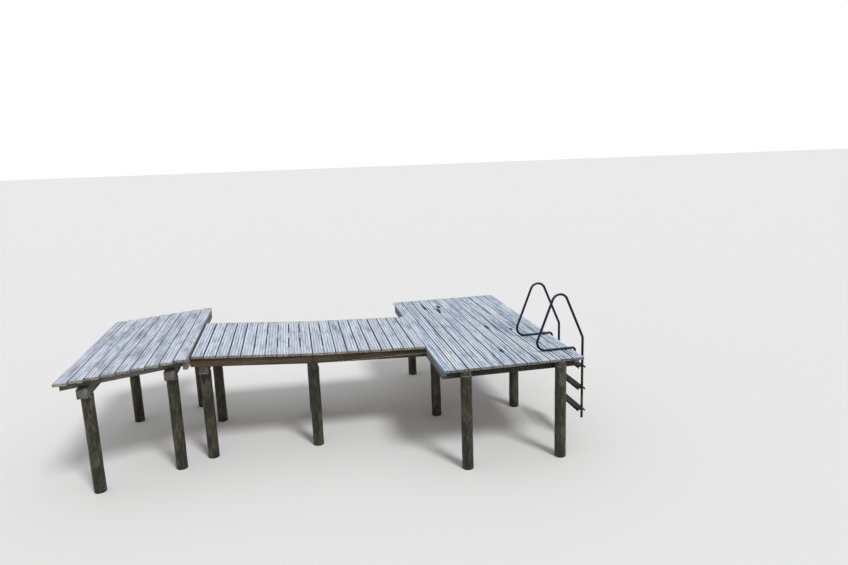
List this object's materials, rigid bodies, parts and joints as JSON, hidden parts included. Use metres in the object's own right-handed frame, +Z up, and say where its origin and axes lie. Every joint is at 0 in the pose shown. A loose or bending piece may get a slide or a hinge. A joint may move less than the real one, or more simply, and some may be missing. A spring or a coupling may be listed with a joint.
{
  "type": "wooden jetty",
  "caption": "T-shaped wooden bathing jetty on log piles, with a walkway to the bank, a skewed landing and a bent-tube ladder.",
  "frame": {"origin": "plane of the pile feet, midway along the overall length and width", "axes": "+Z up, +X from the bank towards the water, +Y along the platform's boards away from the viewer"},
  "size_m": [5.3143, 3.2, 1.729],
  "materials": {
    "deck_boards": "weathered grey grooved boards",
    "landing_planks": "weathered grey boards, a little dirtier",
    "framing": "damp dark brown sawn timber",
    "log_piles": "damp round log with checks",
    "navy_tube": "dark blue gloss paint, worn",
    "zinc_brackets": "dull zinc"
  },
  "bodies": {
    "root": {"platform_boards": "deck_boards", "platform_rim_left": "framing", "platform_rim_right": "framing", "platform_joist_front": "framing", "platform_joist_back": "framing", "platform_joists_middle": "framing", "pile_front_left": "log_piles", "pile_front_right": "log_piles", "pile_middle_left": "log_piles", "pile_middle_right": "log_piles", "pile_back_left": "log_piles", "pile_back_right": "log_piles", "walkway_boards_outer": "deck_boards", "walkway_boards_inner": "deck_boards", "stringer_outer_front": "framing", "stringer_outer_middle": "framing", "stringer_outer_back": "framing", "stringer_inner_front": "framing", "stringer_inner_middle": "framing", "stringer_inner_back": "framing", "walkway_brackets": "zinc_brackets", "trestle_cap": "framing", "trestle_pile_front": "log_piles", "trestle_pile_back": "log_piles", "shore_cap": "framing", "shore_post_front": "log_piles", "shore_post_back": "log_piles", "landing_boards": "landing_planks", "landing_rim": "framing", "landing_bearer_front": "framing", "landing_bearer_middle": "framing", "landing_bearer_back": "framing", "landing_sleeper_outer": "framing", "landing_sleeper_inner": "framing", "landing_post_front_outer": "log_piles", "landing_post_front_inner": "log_piles", "landing_post_back_outer": "log_piles", "landing_post_back_inner": "log_piles", "rail_front": "navy_tube", "rail_rear": "navy_tube", "rail_clips_front": "navy_tube", "rail_clips_rear": "navy_tube", "ladder_tread_1": "navy_tube", "ladder_tread_2": "navy_tube", "ladder_tread_3": "navy_tube"}
  },
  "joints": []
}
